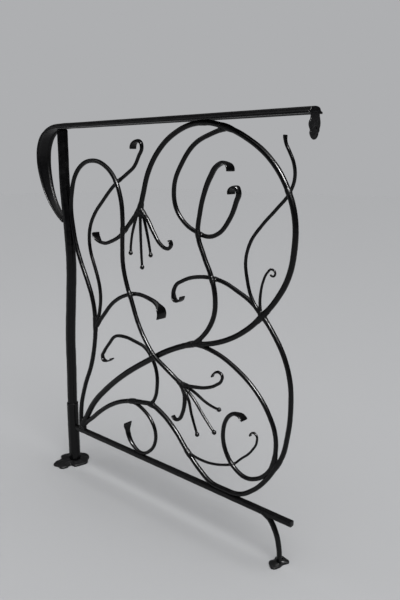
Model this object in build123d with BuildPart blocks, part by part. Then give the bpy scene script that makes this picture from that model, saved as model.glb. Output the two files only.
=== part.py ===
"""Wrought-iron railing panel.

A forged octagonal post stands in a short socket on a leaf-shaped base plate. A moulded cap rail runs
from a lamb's tongue on the post to a small wall bracket. A square bottom rail runs from the socket to
a curved leg with its own foot plate. Between the rails, round bars are welded into vines and two lilies.

Frame: +X along the rails from the post, +Y through the panel, +Z up. The origin is on the floor,
under the middle of the post. All sizes are in millimetres.
"""

import os
from math import sqrt

from build123d import *

os.makedirs("parts", exist_ok=True)

# ---- Overall sizes ----
RAIL_HEIGHT = 914.0  # floor to the crown of the cap rail
PANEL_LENGTH = 748.0  # middle of the post's foot to the far end of the cap rail
BOTTOM_RAIL_END = 727.0  # middle of the post's foot to the end of the bottom rail
BOTTOM_RAIL_TOP = 111.0

# ---- Post, socket and base plate ----
POST_FLATS = 24.0  # across the flats of the octagon
POST_TOP_LEAN = 8.0  # how far the forged post wanders off its foot, at the top
POST_BELLY = 22.0  # and at its widest, above the middle
SOCKET_FLATS = 28.0
SOCKET_TOP = 175.0
SOCKET_CLEARANCE = 0.15
BASE_PLATE_THICKNESS = 8.0
BASE_PLATE_REACH = 1.0  # stretch of the leaf outline

# ---- Cap rail and wall bracket ----
CAP_WIDTH = 44.5
CAP_THICKNESS = 12.0
CAP_FLANGE = 3.5
CAP_CROWN_WIDTH = 28.0
TONGUE_DROP = 234.0  # underside of the rail to the tongue's end
TONGUE_REACH = 77.0  # how far the tongue swings out past the post's foot
BRACKET_THICKNESS = 4.5
BRACKET_HANG = 44.0
BRACKET_HOLE = 6.0
BRACKET_HOLE_DROP = 25.0
BRACKET_HOLE_SIDE = 3.0

# ---- Bottom rail, leg and foot ----
BOTTOM_RAIL_BAR = 12.7
LEG_BAR = 10.5
LEG_FOOT_X = 698.0
LEG_OUTSWING = 36.0  # the leg's top starts this far back along the rail
FOOT_THICKNESS = 7.0
FOOT_HOLE = 6.0

# ---- Scroll bars, by diameter ----
STEM_BAR = 12.7
LOOP_BAR = 10.5
VINE_BAR = 9.5
SPIRAL_BAR = 8.8
LEAF_BAR = 8.2
RUNNER_BAR = 7.8
TENDRIL_BAR = 6.3
WIRE_BAR = 5.5
STAMEN_BALL = 10.5
TIP_THICKNESS = 4.0

# ---- Fits ----
CROSSING_GAP = 0.15  # between two bars that pass each other, bridged by a weld bead
SEAT_DEPTH = 0.4  # how deep a round bar is flattened where it lies on a rail

RAIL_UNDERSIDE = RAIL_HEIGHT - CAP_THICKNESS
BOTTOM_RAIL_MIDDLE = BOTTOM_RAIL_TOP - BOTTOM_RAIL_BAR / 2

# The scrollwork is drawn on a grid of the standard panel and stretched to the panel's own size.
GRID_LENGTH = 748.0
GRID_LOW = 111.0
GRID_HIGH = 902.0
STRETCH_X = PANEL_LENGTH / GRID_LENGTH
STRETCH_Z = (RAIL_UNDERSIDE - BOTTOM_RAIL_TOP) / (GRID_HIGH - GRID_LOW)

made = {}


def grid_height(z):
    """The drawing's height for a real height."""
    return GRID_LOW + (z - BOTTOM_RAIL_TOP) / STRETCH_Z


def on_panel(spot):
    """The real place of a drawn spot: along, up and, if it stands off the panel, across."""
    along, up, across = (*spot, 0.0)[:3]
    return Vector(along * STRETCH_X, across, BOTTOM_RAIL_TOP + (up - GRID_LOW) * STRETCH_Z)


def arc_or_line(start, end, heading):
    """One edge from start to end that leaves start along heading."""
    if heading.cross((end - start).normalized()).length < 1e-4:
        return Line(start, end)
    return TangentArc(start, end, tangent=heading)


def smooth_route(spots, leaving=None):
    """A smooth line through the spots: two tangent arcs join each pair, so it has no kinks."""
    chords = [end - start for start, end in zip(spots, spots[1:])]
    headings = [
        (before * (after.length / before.length) + after * (before.length / after.length)).normalized()
        for before, after in zip(chords, chords[1:])
    ]
    if not headings:
        return [Line(spots[0], spots[1])]
    first, last = chords[0].normalized(), chords[-1].normalized()
    headings.insert(0, leaving or first * (2 * first.dot(headings[0])) - headings[0])
    headings.append(last * (2 * last.dot(headings[-1])) - headings[-1])
    edges = []
    for start, end, leave, arrive in zip(spots, spots[1:], headings, headings[1:]):
        chord = end - start
        reach = chord.dot(leave + arrive)
        spread = 2 * (1 - leave.dot(arrive))
        square = chord.dot(chord)
        if spread < 1e-6:
            handle = square / (2 * reach)
        else:
            handle = (sqrt(reach * reach + spread * square) - reach) / spread
        leave_end, arrive_start = start + leave * handle, end - arrive * handle
        middle = (leave_end + arrive_start) / 2
        edges.append(arc_or_line(start, middle, leave))
        edges.append(arc_or_line(middle, end, (arrive_start - leave_end).normalized()))
    return edges


def finish(name, piece, onto=()):
    """Fit a piece to the pieces it is welded onto, then label and write it."""
    with BuildPart() as fitted:
        add(piece)
        for other in onto:
            add(made[other], mode=Mode.SUBTRACT)
    body = fitted.part.solids().sort_by(SortBy.VOLUME)[-1]
    print(f"{name:24s} {body.volume:9.0f} mm3, trimmed {1 - body.volume / piece.volume:6.1%}")
    body.label = name
    made[name] = body
    export_step(body, f"parts/{name}.step")
    return body


def forged_bar(name, diameter, spots, onto=(), tip=0, tip_width=14.0, ball=0.0):
    """A round bar through the spots. Its last `tip` stretches are hammered to a flat strip."""
    places = [on_panel(spot) for spot in spots]
    with BuildPart() as bar:
        with BuildLine() as line:
            smooth_route(places)
        edges = line.edges()
        round_part = edges[: len(edges) - 2 * tip]
        with BuildSketch(Plane(origin=places[0], z_dir=round_part[0] % 0)):
            Circle(diameter / 2)
        sweep(path=Wire(round_part))
        if tip:
            flat_part = edges[len(edges) - 2 * tip :]
            with BuildSketch(Plane(origin=flat_part[0] @ 0, x_dir=(0, 1, 0), z_dir=flat_part[0] % 0)):
                Rectangle(tip_width, TIP_THICKNESS)
            sweep(path=Wire(flat_part))
        if ball:
            with Locations(places[-1]):
                Sphere(ball / 2)
    return finish(name, bar.part, onto)


def weld_knot(name, spot, diameter, onto):
    """The lump of a forge weld where several bars meet."""
    with BuildPart() as knot:
        with Locations(on_panel(spot)):
            Sphere(diameter / 2)
    return finish(name, knot.part, onto)


# ---- Post ----
def octagon(flats):
    """An octagon with flats towards the rails and the panel's faces."""
    return RegularPolygon(flats / 2, 8, major_radius=False, rotation=22.5)


def base_plate():
    """A forged leaf-shaped plate with five blunt lobes."""
    outline = [
        (-49, -10), (-43, 12), (-26, 35), (-8, 44), (12, 40), (24, 27), (39, 10), (36, -10),
        (30, -24), (17, -27), (20, -42), (13, -57), (-2, -56), (-16, -60), (-29, -44), (-31, -27),
    ]
    with BuildPart() as plate:
        with BuildSketch():
            with BuildLine():
                Spline(*[(x * BASE_PLATE_REACH, y * BASE_PLATE_REACH) for x, y in outline], periodic=True)
            make_face()
        extrude(amount=BASE_PLATE_THICKNESS)
        fillet(plate.faces().sort_by(Axis.Z)[-1].edges(), BASE_PLATE_THICKNESS / 4)
    return plate.part


def socket():
    """A short octagonal sleeve that holds the post's foot."""
    with BuildPart() as sleeve:
        with BuildSketch(Plane.XY.offset(BASE_PLATE_THICKNESS)):
            octagon(SOCKET_FLATS)
            with BuildSketch(mode=Mode.SUBTRACT):
                octagon(POST_FLATS + 2 * SOCKET_CLEARANCE)
        extrude(amount=SOCKET_TOP - BASE_PLATE_THICKNESS)
        chamfer(sleeve.faces().sort_by(Axis.Z)[-1].outer_wire().edges(), (SOCKET_FLATS - POST_FLATS) / 8)
    return sleeve.part


def post():
    """The forged post: straight in its socket, then gently wandering in the panel's plane."""
    height = RAIL_UNDERSIDE - SOCKET_TOP
    wander = [
        (0.0, 0.0), (0.13, 0.02), (0.26, 0.22), (0.40, 0.66), (0.545, 1.0), (0.66, 0.82), (0.80, 0.4)
    ]
    spots = [Vector(POST_BELLY * side, 0, SOCKET_TOP + height * up) for up, side in wander]
    spots.append(Vector(POST_TOP_LEAN, 0, RAIL_UNDERSIDE - height / 12))
    spots.append(Vector(POST_TOP_LEAN, 0, RAIL_UNDERSIDE))
    with BuildPart() as bar:
        with BuildLine() as line:
            Line((0, 0, BASE_PLATE_THICKNESS), spots[0])
            smooth_route(spots, leaving=Vector(0, 0, 1))
        with BuildSketch(Plane.XY.offset(BASE_PLATE_THICKNESS)):
            octagon(POST_FLATS)
        sweep(path=Wire(line.edges()), transition=Transition.RIGHT)
        split(bisect_by=Plane.XY.offset(RAIL_UNDERSIDE), keep=Keep.BOTTOM)
    return bar.part


# ---- Cap rail ----
def cap_profile():
    """Half of the moulding, mirrored: a thin flange, a cove and a low crown."""
    cove = (CAP_WIDTH - CAP_CROWN_WIDTH) / 2
    shoulder = CAP_THICKNESS - 3.0
    with BuildSketch(Plane.YZ.offset(PANEL_LENGTH)) as profile:
        with BuildLine():
            Line((0, 0), (CAP_WIDTH / 2, 0))
            Line((CAP_WIDTH / 2, 0), (CAP_WIDTH / 2, CAP_FLANGE))
            Line((CAP_WIDTH / 2, CAP_FLANGE), (CAP_WIDTH / 2 - cove * 0.6, CAP_FLANGE))
            Line((CAP_WIDTH / 2 - cove * 0.6, CAP_FLANGE), (CAP_CROWN_WIDTH / 2, shoulder))
            ThreePointArc((CAP_CROWN_WIDTH / 2, shoulder), (CAP_CROWN_WIDTH / 4, CAP_THICKNESS - 0.8),
                          (0, CAP_THICKNESS))
            Line((0, CAP_THICKNESS), (0, 0))
        make_face()
        mirror(about=Plane.YZ)
    return profile.sketch


def cap_rail():
    """The cap rail and its tongue, which curls down and back to the post."""
    across = TONGUE_REACH / 77.0
    down = TONGUE_DROP / 234.0
    tongue = [(-24, 3), (-52, 17), (-71, 44), (-77, 80), (-71, 122), (-57, 162), (-37, 194), (-15, 216), (5, 230)]
    spots = [Vector(POST_TOP_LEAN + 4, 0, RAIL_UNDERSIDE)]
    spots += [Vector(x * across, 0, RAIL_UNDERSIDE - drop * down) for x, drop in tongue]
    with BuildPart() as rail:
        with BuildLine() as line:
            Line((PANEL_LENGTH, 0, RAIL_UNDERSIDE), spots[0])
            smooth_route(spots, leaving=Vector(-1, 0, 0))
        sweep(sections=cap_profile().moved(Location((0, 0, RAIL_UNDERSIDE))), path=Wire(line.edges()),
              transition=Transition.RIGHT)
    return rail.part


def wall_bracket():
    """A hammered leaf plate across the rail's far end, with one screw hole."""
    outline = [(-14, -16), (-11.5, -25), (-11.5, -34), (0, -44), (10.5, -35), (11.5, -25), (13.5, -15), (10.5, -6)]
    hang = BRACKET_HANG / 44.0
    with BuildPart() as plate:
        with BuildSketch(Plane.YZ.offset(PANEL_LENGTH - BRACKET_THICKNESS)):
            with BuildLine():
                start = (-10, RAIL_UNDERSIDE)
                end = (10, RAIL_UNDERSIDE)
                Spline(start, *[(y, RAIL_UNDERSIDE + z * hang) for y, z in outline], end)
                Line(end, start)
            make_face()
        extrude(amount=BRACKET_THICKNESS)
        hole_height = RAIL_UNDERSIDE - BRACKET_HOLE_DROP * hang
        with Locations(Plane.YZ.offset(PANEL_LENGTH) * Location((BRACKET_HOLE_SIDE, hole_height, 0))):
            Hole(BRACKET_HOLE / 2)
    return plate.part


# ---- Bottom rail and foot ----
def bottom_rail():
    """A square bar from the socket's face, with worn corners."""
    start = SOCKET_FLATS / 2
    with BuildPart() as rail:
        with BuildSketch(Plane.YZ.offset(start)):
            with Locations((0, BOTTOM_RAIL_MIDDLE)):
                RectangleRounded(BOTTOM_RAIL_BAR, BOTTOM_RAIL_BAR, BOTTOM_RAIL_BAR / 8)
        extrude(amount=BOTTOM_RAIL_END - start)
        fillet(rail.faces().sort_by(Axis.X)[-1].edges(), BOTTOM_RAIL_BAR / 10)
    return rail.part


def leg():
    """The curved leg under the bottom rail's end."""
    top = BOTTOM_RAIL_MIDDLE
    drop = (top - FOOT_THICKNESS) / 98.0
    back = LEG_OUTSWING / 36.0
    spots = [
        Vector(LEG_FOOT_X - out * back, 0, FOOT_THICKNESS + up * drop)
        for out, up in ((44, 98), (26, 86), (11, 64), (2, 34), (0, 0))
    ]
    with BuildPart() as bar:
        with BuildLine() as line:
            smooth_route(spots)
        with BuildSketch(Plane(origin=spots[0], z_dir=line.edges()[0] % 0)):
            Circle(LEG_BAR / 2)
        sweep(path=Wire(line.edges()), transition=Transition.RIGHT)
        split(bisect_by=Plane.XY.offset(FOOT_THICKNESS), keep=Keep.TOP)
    return bar.part


def foot_plate():
    """The leaf-shaped foot under the leg, with a screw hole beside it."""
    outline = [(-19, -7), (-12, -18), (1, -24), (8, -13), (9, 2), (13, 19), (4, 22), (-11, 23), (-17, 12), (-15, 3)]
    with BuildPart() as plate:
        with BuildSketch(Plane((LEG_FOOT_X, 0, 0))):
            with BuildLine():
                Spline(*outline, periodic=True)
            make_face()
        extrude(amount=FOOT_THICKNESS)
        with Locations((LEG_FOOT_X - 2, LEG_BAR + FOOT_HOLE / 2, FOOT_THICKNESS)):
            Hole(FOOT_HOLE / 2)
    return plate.part


def root_weld():
    """The block of weld on the bottom rail where the three stems rise."""
    outline = [(24, 111), (58, 111), (63, 124), (55, 137), (34, 141), (25, 126)]
    with BuildPart() as block:
        with BuildSketch(Plane.XZ.offset(-STEM_BAR * 0.6)):
            with BuildLine():
                corners = [on_panel(spot) for spot in outline]
                Polyline(*[(corner.X, corner.Z) for corner in corners], close=True)
            make_face()
        extrude(amount=STEM_BAR * 1.2)
        fillet(block.edges().filter_by(Axis.Y).group_by(Axis.Z)[-1], 4)
    return block.part


# ---- The frame of the panel ----
finish("post_base_plate", base_plate())
finish("post_socket", socket())
finish("post", post())
finish("cap_rail", cap_rail(), onto=["post"])
finish("wall_bracket", wall_bracket())
finish("bottom_rail", bottom_rail())
finish("foot_plate", foot_plate())
finish("leg", leg(), onto=["bottom_rail"])
finish("root_weld", root_weld(), onto=["bottom_rail"])

# ---- Vines. Each spot is (along, up) or (along, up, across) on the drawing. ----
under_cap = grid_height(RAIL_UNDERSIDE - LOOP_BAR / 2 + SEAT_DEPTH)
on_bottom_vine = grid_height(BOTTOM_RAIL_TOP + VINE_BAR / 2 - SEAT_DEPTH)
on_bottom_runner = grid_height(BOTTOM_RAIL_TOP + RUNNER_BAR / 2 - SEAT_DEPTH)
over_stem = -(VINE_BAR + STEM_BAR) / 2 - CROSSING_GAP
over_leaf = -(VINE_BAR + SPIRAL_BAR) / 2 - CROSSING_GAP
behind_stem = (STEM_BAR + RUNNER_BAR) / 2 + CROSSING_GAP
behind_leaf = (VINE_BAR + SPIRAL_BAR) / 2 + CROSSING_GAP
behind_loop = (LOOP_BAR + TENDRIL_BAR) / 2 + CROSSING_GAP
behind_spiral = (SPIRAL_BAR + WIRE_BAR) / 2 + CROSSING_GAP
post_face = POST_BELLY * 0.65 + POST_FLATS / 2
beside_post = (post_face + VINE_BAR / 2 - SEAT_DEPTH) / STRETCH_X

forged_bar("main_stem", STEM_BAR, [
    (44, 121), (57, 141), (97, 199), (150, 250), (200, 290), (312, 362), (381, 400), (457, 430),
], onto=["bottom_rail", "root_weld"])
weld_knot("branch_weld", (457, 430), STEM_BAR * 1.3, onto=["main_stem"])
forged_bar("main_loop", LOOP_BAR, [
    (457, 430), (513, 442), (558, 460), (599, 485), (638, 519), (674, 560), (699, 603), (712, 662),
    (710, 722), (687, 779), (650, 826), (598, 863), (544, 886), (485, under_cap), (406, 880),
    (351, 841), (320, 798), (301, 746), (291, 716),
], onto=["main_stem", "branch_weld", "cap_rail"])
forged_bar("left_loop", VINE_BAR, [
    (40, 118), (41, 165), (61, 236), (91, 303), (107, 361), (113, 406), (112, 446), (104, 484),
    (86, 526), (64, 570), (beside_post + 15, 615), (beside_post + 5, 660), (beside_post, 705),
    (beside_post + 7, 750), (beside_post + 23, 788), (84, 814),
    (130, 823, -2), (180, 810, -6), (217, 780, over_leaf), (235, 738, over_leaf), (240, 684, over_leaf),
    (237, 631, over_leaf), (238, 580, over_leaf), (248, 541, over_leaf), (265, 500, over_leaf),
    (289, 449, -11), (314, 411, over_stem), (342, 381, over_stem), (374, 359, -8), (398, 341, -3),
    (420, 326, 0),
], onto=["root_weld", "main_stem", "post"])
forged_bar("lower_curve", VINE_BAR, [
    (44, 118), (60, 133), (84, 151), (121, 181), (166, 211), (206, 230), (246, 242), (285, 249), (316, 252),
    (356, 238), (397, 209), (436, 169), (473, 138), (508, 118), (546, on_bottom_vine), (588, 119),
    (626, 142), (657, 174), (680, 208), (698, 241), (709, 286), (715, 350), (711, 404), (695, 451),
    (671, 489), (640, 525),
], onto=["root_weld", "main_stem", "bottom_rail", "main_loop"])
weld_knot("right_weld", (639, 524), LOOP_BAR * 1.5, onto=["main_loop", "lower_curve"])
weld_knot("left_weld", (119, 418), VINE_BAR * 1.5, onto=["left_loop"])
forged_bar("right_spiral", SPIRAL_BAR, [
    (457, 430), (483, 429), (526, 421), (578, 399), (627, 365), (661, 325), (679, 286), (682, 250),
    (675, 215), (658, 189), (634, 171), (606, 164), (580, 173), (558, 194), (545, 222), (543, 251),
    (549, 275), (560, 291), (578, 299), (598, 298),
], onto=["main_stem", "branch_weld", "main_loop", "lower_curve"], tip=2, tip_width=15)
forged_bar("upright_leaf", VINE_BAR, [
    (457, 430), (482, 451), (503, 477), (516, 507), (518, 540), (509, 580), (486, 627), (469, 672),
    (474, 712), (485, 752), (503, 789), (522, 811), (541, 815), (557, 806),
], onto=["main_stem", "branch_weld", "main_loop", "right_spiral"], tip=2, tip_width=17)
forged_bar("upper_spiral", SPIRAL_BAR, [
    (551, 885), (504, 874), (461, 856), (425, 819), (398, 766, 2), (401, 722, 5), (424, 691, 8.5),
    (458, 674, behind_leaf), (491, 667, behind_leaf), (519, 676, behind_leaf), (545, 703, behind_leaf),
    (564, 741, behind_leaf), (570, 762, behind_leaf), (562, 771, behind_leaf), (552, 762, behind_leaf),
], onto=["main_loop", "cap_rail"], tip=2, tip_width=14)
forged_bar("node_leaf", LEAF_BAR, [
    (638, 526), (613, 545, 2), (574, 562, 6), (527, 577, behind_leaf), (468, 579, behind_leaf),
    (415, 564, behind_leaf), (393, 550, behind_leaf), (386, 531, behind_leaf), (392, 516, behind_leaf),
    (404, 516, behind_leaf), (413, 528, behind_leaf),
], onto=["main_loop", "lower_curve", "right_weld"], tip=4, tip_width=15)
forged_bar("long_tendril", TENDRIL_BAR, [
    (638, 526), (616, 552), (602, 592), (598, 631), (609, 666), (634, 699, 1), (665, 732, 5),
    (690, 761, behind_loop), (702, 788, 8), (702, 815, 5), (692, 839, 3), (685, 853, 2), (683, 867, 2),
], onto=["main_loop", "lower_curve", "right_weld", "node_leaf"], tip=1, tip_width=9)
forged_bar("short_tendril", WIRE_BAR, [
    (638, 526), (635, 545), (636, 567), (641, 590), (651, 610), (661, 618), (670, 612), (667, 605),
    (659, 607),
], onto=["main_loop", "lower_curve", "right_weld", "long_tendril", "node_leaf"])
forged_bar("low_tendril", WIRE_BAR, [
    (440, 168), (478, 162), (514, 164, 1), (546, 171, 5), (565, 178, behind_spiral),
    (585, 196, behind_spiral), (618, 228, 5), (631, 252, 4), (630, 265, 4), (620, 269, 4), (614, 260, 4),
], onto=["lower_curve"])
forged_bar("lower_left_spiral", RUNNER_BAR, [
    (245, 242), (286, 232), (315, 212), (330, 184), (327, 154), (307, 128), (277, on_bottom_runner),
    (251, 124), (232, 148), (228, 168), (230, 181),
], onto=["lower_curve", "bottom_rail"], tip=1, tip_width=18)
forged_bar("cross_tendril", RUNNER_BAR, [
    (317, 254), (331, 275, 1), (334, 301, 4), (328, 336, 8), (312, 363, behind_stem),
    (288, 385, behind_stem), (256, 396, 6), (220, 402, 2), (190, 397), (167, 375), (146, 350),
    (138, 336), (142, 327), (156, 326), (174, 336),
], onto=["lower_curve", "main_stem", "left_loop"], tip=3, tip_width=11)
forged_bar("arching_leaf", SPIRAL_BAR, [
    (119, 412), (148, 445), (190, 485), (236, 508), (275, 516), (312, 512), (341, 502), (354, 491),
    (353, 471),
], onto=["left_loop", "left_weld"], tip=2, tip_width=22)
forged_bar("left_tendril", RUNNER_BAR, [
    (120, 420), (133, 455), (138, 495), (133, 527), (118, 567), (105, 600), (101, 635), (108, 667),
    (125, 695), (157, 727), (208, 770), (248, 793), (275, 811), (290, 833), (300, 850), (297, 861),
    (286, 864), (277, 856),
], onto=["left_loop", "left_weld", "arching_leaf"], tip=3, tip_width=12)


def lily(name, centre, end_of, petals, stamens):
    """A lily: a collar on the end of its vine, two curling petals and three stamens with balls."""
    collar = f"{name}_collar"
    weld_knot(collar, centre, LOOP_BAR * 1.7, onto=[end_of])
    made_so_far = [end_of, collar]
    for side, diameter, spots, tip, width in petals:
        forged_bar(f"{name}_{side}_petal", diameter, spots, onto=made_so_far, tip=tip, tip_width=width)
        made_so_far.append(f"{name}_{side}_petal")
    for side, spots in stamens:
        forged_bar(f"{name}_{side}_stamen", WIRE_BAR, spots, onto=made_so_far, ball=STAMEN_BALL)
        made_so_far.append(f"{name}_{side}_stamen")


lily("upper_lily", (291, 716), "main_loop", [
    ("left", RUNNER_BAR, [
        (288, 713), (253, 679), (226, 654), (190, 635), (155, 627), (139, 631), (130, 640), (127, 650),
    ], 2, 14),
    ("right", RUNNER_BAR, [
        (294, 713), (310, 699), (335, 664), (355, 641), (371, 633), (383, 634), (389, 643), (384, 651),
    ], 2, 9),
], [
    ("left", [(288, 712, -3), (278, 688, -4), (265, 646, -5), (261, 613, -5)]),
    ("middle", [(291, 711), (291, 650), (294, 582)]),
    ("right", [(293, 711, 3), (300, 689, 4), (309, 654, 5), (318, 612, 5)]),
])
lily("lower_lily", (420, 326), "left_loop", [
    ("right", TENDRIL_BAR, [
        (424, 328), (461, 331), (495, 338), (521, 350), (537, 364), (539, 375), (530, 381), (518, 377),
        (511, 367),
    ], 2, 8),
    ("left", RUNNER_BAR, [
        (423, 322), (428, 301), (427, 280), (421, 259), (412, 243), (400, 237), (390, 244),
    ], 2, 10),
], [
    ("left", [(425, 321, -3), (442, 301, -4), (454, 266, -5), (471, 223, -5)]),
    ("middle", [(427, 323), (459, 299), (480, 276), (517, 240)]),
    ("right", [(426, 326, 3), (458, 315, 4), (491, 300, 5), (526, 294, 5)]),
])
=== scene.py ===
# %% [markdown]
# # A forged iron railing panel
# The real thing is a short run of handrail: an octagonal post in a socket, a moulded cap rail that ends
# in a lamb's tongue, a square bottom rail on a little curved leg, and vines of round bar between them.
# A smith heats each bar, draws it out, bends it, spreads its end on the anvil and welds it in place.
# This lesson does the same in mesh code, around a fixed frame that already holds the true sizes.

from bisect import bisect_right
from math import atan2, ceil, cos, pi, radians, sin, sqrt

import bmesh
import bpy
from mathutils import Matrix, Vector, noise
from mathutils.geometry import interpolate_bezier


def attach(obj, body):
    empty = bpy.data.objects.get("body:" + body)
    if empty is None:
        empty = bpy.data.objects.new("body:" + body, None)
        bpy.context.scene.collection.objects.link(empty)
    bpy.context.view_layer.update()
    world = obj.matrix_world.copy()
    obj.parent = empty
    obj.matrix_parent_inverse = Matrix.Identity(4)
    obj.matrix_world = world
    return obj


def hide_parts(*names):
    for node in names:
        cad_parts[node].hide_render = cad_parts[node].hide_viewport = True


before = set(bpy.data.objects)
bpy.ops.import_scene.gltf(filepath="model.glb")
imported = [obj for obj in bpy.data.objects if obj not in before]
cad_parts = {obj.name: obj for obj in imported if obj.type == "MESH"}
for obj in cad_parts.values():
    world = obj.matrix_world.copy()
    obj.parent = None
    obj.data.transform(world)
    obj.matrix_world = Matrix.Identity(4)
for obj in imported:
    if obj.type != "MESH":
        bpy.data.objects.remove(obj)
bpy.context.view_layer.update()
MM = 0.001
ACROSS = Vector((0, 1, 0))  # through the panel
UP = Vector((0, 0, 1))


# %% Adding and aiming objects
def add_object(name, data):
    """A new object at the origin of the scene."""
    thing = bpy.data.objects.new(name, data)
    bpy.context.scene.collection.objects.link(thing)
    return thing


def aim(thing, direction):
    """Turn a camera or a lamp, upright, so that it looks along a direction."""
    thing.rotation_mode = "QUATERNION"
    thing.rotation_quaternion = direction.to_track_quat("-Z", "Y")


# %% [markdown]
# ## Where we stand
# A handrail is judged from standing height, a little way off its lower end. The camera could be framed by
# eye, but here its place is known: just under the rail's height, turned about forty degrees to the panel.

# %% Camera
CAMERA_PLACE = Vector((1370.3, -979.35, 816.9)) * MM
CAMERA_YAW, CAMERA_PITCH = radians(42.43), radians(12.16)  # to the left of +Y, and down
LENS, SENSOR_WIDTH = 38.06, 36  # mm
camera = add_object("camera", bpy.data.cameras.new("camera"))
camera.data.lens, camera.data.sensor_width = LENS, SENSOR_WIDTH
camera.location = CAMERA_PLACE
level_share = cos(CAMERA_PITCH)
ahead = Vector((-sin(CAMERA_YAW) * level_share, cos(CAMERA_YAW) * level_share, -sin(CAMERA_PITCH)))
aim(camera, ahead)
bpy.context.scene.camera = camera
print("camera looks along", [round(v, 3) for v in ahead])

# %% [markdown]
# ## Colour and nodes
# Colours are easiest to choose as the hex values of a paint chart, but shaders work in linear light, so
# one function turns them over. A second small function adds any shader node with its settings and links.

# %% Colour and node helpers
def paint(hex_value):
    """An sRGB hex value as linear red, green, blue and alpha."""
    channels = [int(hex_value[i:i + 2], 16) / 255 for i in (1, 3, 5)]
    linear = [c / 12.92 if c <= 0.04045 else ((c + 0.055) / 1.055) ** 2.4 for c in channels]
    return (*linear, 1.0)


def add_node(tree, kind, settings=None, links=None):
    """One shader node: settings are its properties or socket values, links feed its sockets."""
    node = tree.nodes.new(kind)
    for key, value in (settings or {}).items():
        if isinstance(key, str) and hasattr(node, key):
            setattr(node, key, value)
        else:
            node.inputs[key].default_value = value
    for key, output in (links or {}).items():
        tree.links.new(output, node.inputs[key])
    return node


# %% [markdown]
# ## Floor and light
# Black ironwork is seen mostly by what it reflects. A pale surround all round would turn it grey, so the
# studio looks pale but throws only a little light on the iron. A wide overhead sky lights the floor evenly.
# A smaller window panel at the upper right lights no matte surface: it only draws its own reflection, a thin
# bright line down each bar that leans that way. A weak panel at the left keeps the post's dark side readable.
# Colours are shown as they are, with no film look.

# %% Floor
FLOOR_REACH = 14  # metres from the middle to each side


def stage_floor():
    """A wide pale floor under the panel."""
    bm = bmesh.new()
    bmesh.ops.create_grid(bm, x_segments=1, y_segments=1, size=FLOOR_REACH)
    mesh = bpy.data.meshes.new("floor")
    bm.to_mesh(mesh)
    bm.free()
    floor = add_object("floor", mesh)
    material = bpy.data.materials.new("matte pale floor paint")
    material.use_nodes = True
    shader = material.node_tree.nodes["Principled BSDF"]
    shader.inputs["Base Color"].default_value = paint("#b7b8ba")
    shader.inputs["Roughness"].default_value = 0.8
    mesh.materials.append(material)


stage_floor()
bpy.context.scene.view_settings.view_transform = "Standard"


# %% World and lights
def studio_world():
    """A studio that looks pale to the eye, and is dim to everything it lights."""
    world = bpy.data.worlds.new("pale studio")
    bpy.context.scene.world = world
    world.use_nodes = True
    tree = world.node_tree
    seen = tree.nodes["Background"]
    seen.inputs["Color"].default_value = paint("#aeafb1")
    lit = add_node(tree, "ShaderNodeBackground", {"Color": paint("#dcdee2"), "Strength": 0.07})
    rays = add_node(tree, "ShaderNodeLightPath")
    both = add_node(tree, "ShaderNodeMixShader", links={
        0: rays.outputs["Is Camera Ray"], 1: lit.outputs["Background"], 2: seen.outputs["Background"]})
    tree.links.new(both.outputs["Shader"], tree.nodes["World Output"].inputs["Surface"])


def overhead_sky(strength, spread):
    """Light from above that reaches the whole floor alike, soft as an overcast sky. Spread in degrees."""
    light = bpy.data.lights.new("overhead sky", "SUN")
    light.energy, light.angle = strength, radians(spread)
    aim(add_object("overhead sky", light), Vector((-0.25, 0.1, -1)))


def soft_panel(name, place, size, watts, on_floor=True):
    """A square lamp that faces the railing. One that isn't on the floor lights nothing matte."""
    light = bpy.data.lights.new(name, "AREA")
    light.shape, light.size, light.energy = "SQUARE", size, watts
    lamp = add_object(name, light)
    lamp.location = place
    aim(lamp, RAILING_MIDDLE - Vector(place))
    lamp.visible_diffuse = on_floor


RAILING_MIDDLE = Vector((0.37, 0.0, 0.5))
studio_world()
overhead_sky(strength=2.8, spread=75)
soft_panel("window panel", (2.45, -0.9, 3.4), size=1.1, watts=520, on_floor=False)
soft_panel("left panel", (-1.9, -1.4, 1.9), size=0.9, watts=4)

# %% [markdown]
# ## The finishes
# Everything is mild steel under brushed satin black enamel. What the eye reads is not the black but how
# it breaks up: shallow hammer dimples from forging, a fine orange peel in the paint, a dull bloom of dust
# on what faces up, and a grey rub where hands and tools have been. Each finish could be one dark colour
# with one roughness, but that looks like plastic. So each is mixed from patterns with true sizes.

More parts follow.
